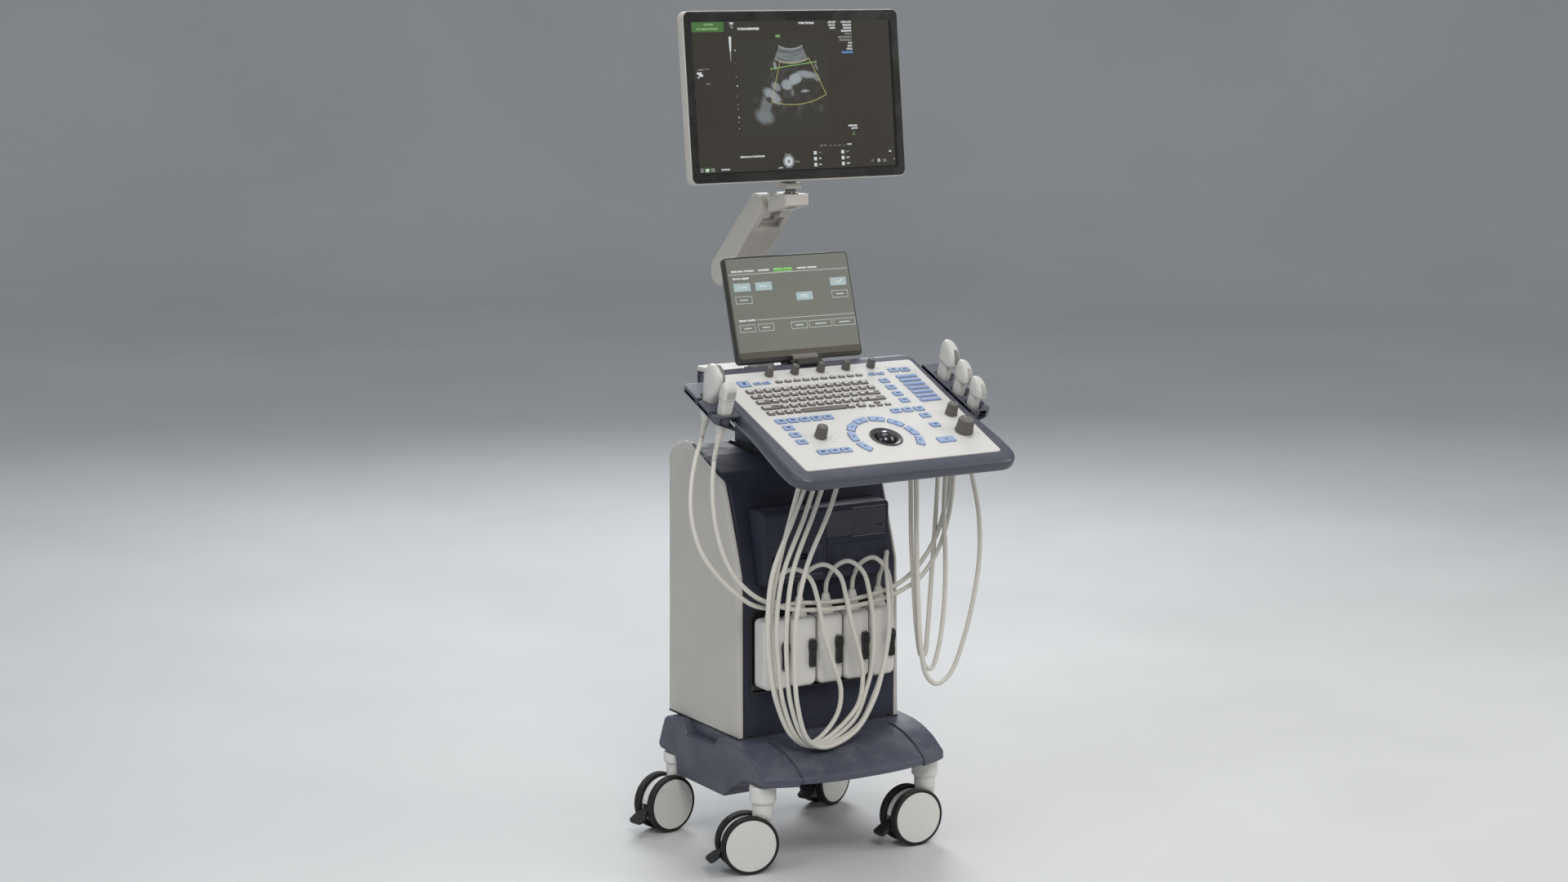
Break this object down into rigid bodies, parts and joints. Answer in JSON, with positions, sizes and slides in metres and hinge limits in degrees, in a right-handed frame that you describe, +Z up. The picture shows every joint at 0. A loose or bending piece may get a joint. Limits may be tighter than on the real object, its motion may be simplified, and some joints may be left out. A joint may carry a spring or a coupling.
{
  "type": "ultrasound machine",
  "caption": "Wheeled diagnostic ultrasound machine with a lifting, swivelling control console, tilting touch screen, arm-mounted monitor, and probes in side holders.",
  "frame": {"origin": "centre of the bounding box, on the floor under the wheels", "axes": "+Z up, +X to the right of a user standing in front, -Y towards the user"},
  "size_m": [0.5736, 0.6619, 1.5747],
  "materials": {
    "shell_plastic": "fine texture",
    "light_plastic": "satin",
    "base_plastic": "satin",
    "navy_plastic": "fine texture",
    "panel_plastic": "satin",
    "key_plastic": "satin",
    "blue_plastic": "satin",
    "knob_plastic": "ribbed",
    "black_plastic": "satin",
    "black_gloss": "polished",
    "tyre_rubber": "matt",
    "caster_plastic": "satin",
    "arm_plastic": "fine texture",
    "screen": "glossy",
    "probe_plastic": "satin",
    "cable_jacket": "matt"
  },
  "bodies": {
    "base": {"base_chassis": "base_plastic", "left_side_cover": "shell_plastic", "right_side_cover": "shell_plastic", "main_housing": "navy_plastic", "rear_cover": "navy_plastic", "connector_panel": "black_plastic", "drive_bay": "navy_plastic", "probe_connector_1": "light_plastic", "probe_connector_2": "light_plastic", "probe_connector_3": "light_plastic", "probe_connector_4": "light_plastic", "probe_connector_5": "light_plastic", "column_sleeve": "black_plastic", "cable_loom": "cable_jacket"},
    "caster_front_left": {"caster_fork_front_left": "caster_plastic"},
    "wheel_front_left": {"caster_wheel_front_left": "tyre_rubber"},
    "pedal_front_left": {"brake_pedal_front_left": "black_plastic"},
    "caster_front_right": {"caster_fork_front_right": "caster_plastic"},
    "wheel_front_right": {"caster_wheel_front_right": "tyre_rubber"},
    "pedal_front_right": {"brake_pedal_front_right": "black_plastic"},
    "caster_rear_left": {"caster_fork_rear_left": "caster_plastic"},
    "wheel_rear_left": {"caster_wheel_rear_left": "tyre_rubber"},
    "pedal_rear_left": {"brake_pedal_rear_left": "black_plastic"},
    "caster_rear_right": {"caster_fork_rear_right": "caster_plastic"},
    "wheel_rear_right": {"caster_wheel_rear_right": "tyre_rubber"},
    "pedal_rear_right": {"brake_pedal_rear_right": "black_plastic"},
    "latch_1": {"connector_latch_1": "black_plastic"},
    "latch_2": {"connector_latch_2": "black_plastic"},
    "latch_3": {"connector_latch_3": "black_plastic"},
    "latch_4": {"connector_latch_4": "black_plastic"},
    "latch_5": {"connector_latch_5": "black_plastic"},
    "fan": {"fan_rotor": "black_plastic"},
    "disc_drawer": {"disc_tray": "navy_plastic"},
    "lift": {"lift_column": "arm_plastic"},
    "console": {"console_tray": "base_plastic", "console_panel": "panel_plastic", "touch_screen_bracket": "black_plastic", "left_probe_holder": "base_plastic", "right_probe_holder": "base_plastic"},
    "touch": {"touch_screen": "screen"},
    "keyboard": {"keyboard": "key_plastic"},
    "control_keys": {"control_keymat": "blue_plastic"},
    "trackball": {"trackball": "black_gloss"},
    "knob_gain_1": {"knob_gain_1": "knob_plastic"},
    "knob_gain_2": {"knob_gain_2": "knob_plastic"},
    "knob_gain_3": {"knob_gain_3": "knob_plastic"},
    "knob_gain_4": {"knob_gain_4": "knob_plastic"},
    "knob_gain_5": {"knob_gain_5": "knob_plastic"},
    "knob_left": {"knob_left": "knob_plastic"},
    "knob_right_rear": {"knob_right_rear": "knob_plastic"},
    "knob_right_front": {"knob_right_front": "knob_plastic"},
    "probe_left_1": {"probe_left_1": "probe_plastic"},
    "probe_left_2": {"probe_left_2": "probe_plastic"},
    "probe_right_1": {"probe_right_1": "probe_plastic"},
    "probe_right_2": {"probe_right_2": "probe_plastic"},
    "probe_right_3": {"probe_right_3": "probe_plastic"},
    "arm": {"arm_link": "arm_plastic"},
    "arm_head": {"arm_head": "arm_plastic"},
    "neck": {"monitor_neck": "arm_plastic"},
    "monitor": {"monitor_housing": "shell_plastic"}
  },
  "joints": [
    {"name": "caster_swivel_front_left", "type": "hinge", "parent": "base", "child": "caster_front_left", "pos_m": [-0.17595, -0.10635, 0.15], "axis": [0, 0, 1], "continuous": true},
    {"name": "wheel_spin_front_left", "type": "hinge", "parent": "caster_front_left", "child": "wheel_front_left", "pos_m": [-0.20637, -0.09941, 0.055], "axis": [0.2224, 0.975, 0], "continuous": true},
    {"name": "brake_pedal_front_left_press", "type": "hinge", "parent": "caster_front_left", "child": "pedal_front_left", "pos_m": [-0.23757, -0.09229, 0.049], "axis": [0.2224, 0.975, 0], "range_deg": [-12, 0]},
    {"name": "caster_swivel_front_right", "type": "hinge", "parent": "base", "child": "caster_front_right", "pos_m": [0.18485, -0.10635, 0.15], "axis": [0, 0, 1], "continuous": true},
    {"name": "wheel_spin_front_right", "type": "hinge", "parent": "caster_front_right", "child": "wheel_front_right", "pos_m": [0.15365, -0.10629, 0.055], "axis": [0.0021, 1, 0], "continuous": true},
    {"name": "brake_pedal_front_right_press", "type": "hinge", "parent": "caster_front_right", "child": "pedal_front_right", "pos_m": [0.12165, -0.10622, 0.049], "axis": [0.0021, 1, 0], "range_deg": [-12, 0]},
    {"name": "caster_swivel_rear_left", "type": "hinge", "parent": "base", "child": "caster_rear_left", "pos_m": [-0.17595, 0.21985, 0.15], "axis": [0, 0, 1], "continuous": true},
    {"name": "wheel_spin_rear_left", "type": "hinge", "parent": "caster_rear_left", "child": "wheel_rear_left", "pos_m": [-0.2066, 0.21404, 0.055], "axis": [-0.1862, 0.9825, 0], "continuous": true},
    {"name": "brake_pedal_rear_left_press", "type": "hinge", "parent": "caster_rear_left", "child": "pedal_rear_left", "pos_m": [-0.23805, 0.20808, 0.049], "axis": [-0.1862, 0.9825, 0], "range_deg": [-12, 0]},
    {"name": "caster_swivel_rear_right", "type": "hinge", "parent": "base", "child": "caster_rear_right", "pos_m": [0.18485, 0.21985, 0.15], "axis": [0, 0, 1], "continuous": true},
    {"name": "wheel_spin_rear_right", "type": "hinge", "parent": "caster_rear_right", "child": "wheel_rear_right", "pos_m": [0.15643, 0.20698, 0.055], "axis": [-0.4125, 0.911, 0], "continuous": true},
    {"name": "brake_pedal_rear_right_press", "type": "hinge", "parent": "caster_rear_right", "child": "pedal_rear_right", "pos_m": [0.12728, 0.19378, 0.049], "axis": [-0.4125, 0.911, 0], "range_deg": [-12, 0]},
    {"name": "connector_latch_1_turn", "type": "hinge", "parent": "base", "child": "latch_1", "pos_m": [-0.09715, -0.05925, 0.4], "axis": [0, -1, 0], "range_deg": [0, 90]},
    {"name": "connector_latch_2_turn", "type": "hinge", "parent": "base", "child": "latch_2", "pos_m": [-0.03835, -0.05925, 0.4], "axis": [0, -1, 0], "range_deg": [0, 90]},
    {"name": "connector_latch_3_turn", "type": "hinge", "parent": "base", "child": "latch_3", "pos_m": [0.02045, -0.05925, 0.4], "axis": [0, -1, 0], "range_deg": [0, 90]},
    {"name": "connector_latch_4_turn", "type": "hinge", "parent": "base", "child": "latch_4", "pos_m": [0.07925, -0.05925, 0.4], "axis": [0, -1, 0], "range_deg": [0, 90]},
    {"name": "connector_latch_5_turn", "type": "hinge", "parent": "base", "child": "latch_5", "pos_m": [0.13805, -0.05925, 0.4], "axis": [0, -1, 0], "range_deg": [0, 90]},
    {"name": "fan_spin", "type": "hinge", "parent": "base", "child": "fan", "pos_m": [0.00445, 0.23525, 0.33], "axis": [0, 1, 0], "continuous": true},
    {"name": "disc_tray_slide", "type": "slide", "parent": "base", "child": "disc_drawer", "axis": [0, -1, 0], "range_m": [0, 0.12]},
    {"name": "column_lift", "type": "slide", "parent": "base", "child": "lift", "axis": [0, 0, 1], "range_m": [-0.03, 0.2], "deforming": ["cable_loom"]},
    {"name": "console_swivel", "type": "hinge", "parent": "lift", "child": "console", "pos_m": [0.00445, 0.17675, 0.82], "axis": [0, 0, 1], "range_deg": [-30, 30]},
    {"name": "touch_screen_tilt", "type": "hinge", "parent": "console", "child": "touch", "pos_m": [0.00445, 0.07075, 0.936], "axis": [1, 0, 0], "range_deg": [-12, 17]},
    {"name": "keyboard_travel", "type": "slide", "parent": "console", "child": "keyboard", "axis": [0, 0.3798, -0.9251], "range_m": [0, 0.0015]},
    {"name": "control_key_travel", "type": "slide", "parent": "console", "child": "control_keys", "axis": [0, 0.3798, -0.9251], "range_m": [0, 0.0015]},
    {"name": "trackball_roll", "type": "hinge", "parent": "console", "child": "trackball", "pos_m": [0.01045, -0.2271, 0.80613], "axis": [1, 0, 0], "continuous": true},
    {"name": "knob_gain_1_turn", "type": "hinge", "parent": "console", "child": "knob_gain_1", "pos_m": [-0.10035, -0.00492, 0.91269], "axis": [0, -0.3798, 0.9251], "continuous": true},
    {"name": "knob_gain_2_turn", "type": "hinge", "parent": "console", "child": "knob_gain_2", "pos_m": [-0.04475, -0.00492, 0.91269], "axis": [0, -0.3798, 0.9251], "continuous": true},
    {"name": "knob_gain_3_turn", "type": "hinge", "parent": "console", "child": "knob_gain_3", "pos_m": [0.01215, -0.00492, 0.91269], "axis": [0, -0.3798, 0.9251], "continuous": true},
    {"name": "knob_gain_4_turn", "type": "hinge", "parent": "console", "child": "knob_gain_4", "pos_m": [0.06805, -0.00492, 0.91269], "axis": [0, -0.3798, 0.9251], "continuous": true},
    {"name": "knob_gain_5_turn", "type": "hinge", "parent": "console", "child": "knob_gain_5", "pos_m": [0.12375, -0.00492, 0.91269], "axis": [0, -0.3798, 0.9251], "continuous": true},
    {"name": "knob_left_turn", "type": "hinge", "parent": "console", "child": "knob_left", "pos_m": [-0.11705, -0.21214, 0.82762], "axis": [0, -0.3798, 0.9251], "continuous": true},
    {"name": "knob_right_rear_turn", "type": "hinge", "parent": "console", "child": "knob_right_rear", "pos_m": [0.18795, -0.18069, 0.84054], "axis": [0, -0.3798, 0.9251], "continuous": true},
    {"name": "knob_right_front_turn", "type": "hinge", "parent": "console", "child": "knob_right_front", "pos_m": [0.17745, -0.23804, 0.81699], "axis": [0, -0.3798, 0.9251], "continuous": true},
    {"name": "probe_left_1_lift_out", "type": "slide", "parent": "console", "child": "probe_left_1", "axis": [0, -0.3798, 0.9251], "range_m": [0, 0.1]},
    {"name": "probe_left_2_lift_out", "type": "slide", "parent": "console", "child": "probe_left_2", "axis": [0, -0.3798, 0.9251], "range_m": [0, 0.1]},
    {"name": "probe_right_1_lift_out", "type": "slide", "parent": "console", "child": "probe_right_1", "axis": [0, -0.3798, 0.9251], "range_m": [0, 0.1]},
    {"name": "probe_right_2_lift_out", "type": "slide", "parent": "console", "child": "probe_right_2", "axis": [0, -0.3798, 0.9251], "range_m": [0, 0.1]},
    {"name": "probe_right_3_lift_out", "type": "slide", "parent": "console", "child": "probe_right_3", "axis": [0, -0.3798, 0.9251], "range_m": [0, 0.1]},
    {"name": "arm_raise", "type": "hinge", "parent": "lift", "child": "arm", "pos_m": [0.00445, 0.30275, 1.071], "axis": [1, 0, 0], "range_deg": [-30, 15]},
    {"name": "arm_head_level", "type": "hinge", "parent": "arm", "child": "arm_head", "pos_m": [0.00445, 0.16175, 1.208], "axis": [1, 0, 0], "range_deg": [-15, 30]},
    {"name": "monitor_swivel", "type": "hinge", "parent": "arm_head", "child": "neck", "pos_m": [0.00445, 0.08975, 1.24], "axis": [0, 0, 1], "range_deg": [-60, 60]},
    {"name": "monitor_tilt", "type": "hinge", "parent": "neck", "child": "monitor", "pos_m": [0.00445, 0.10775, 1.335], "axis": [1, 0, 0], "range_deg": [-18, 6]}
  ],
  "couplings": [
    {"joint": "arm_head_level", "follows": "arm_raise", "ratio": -1}
  ]
}
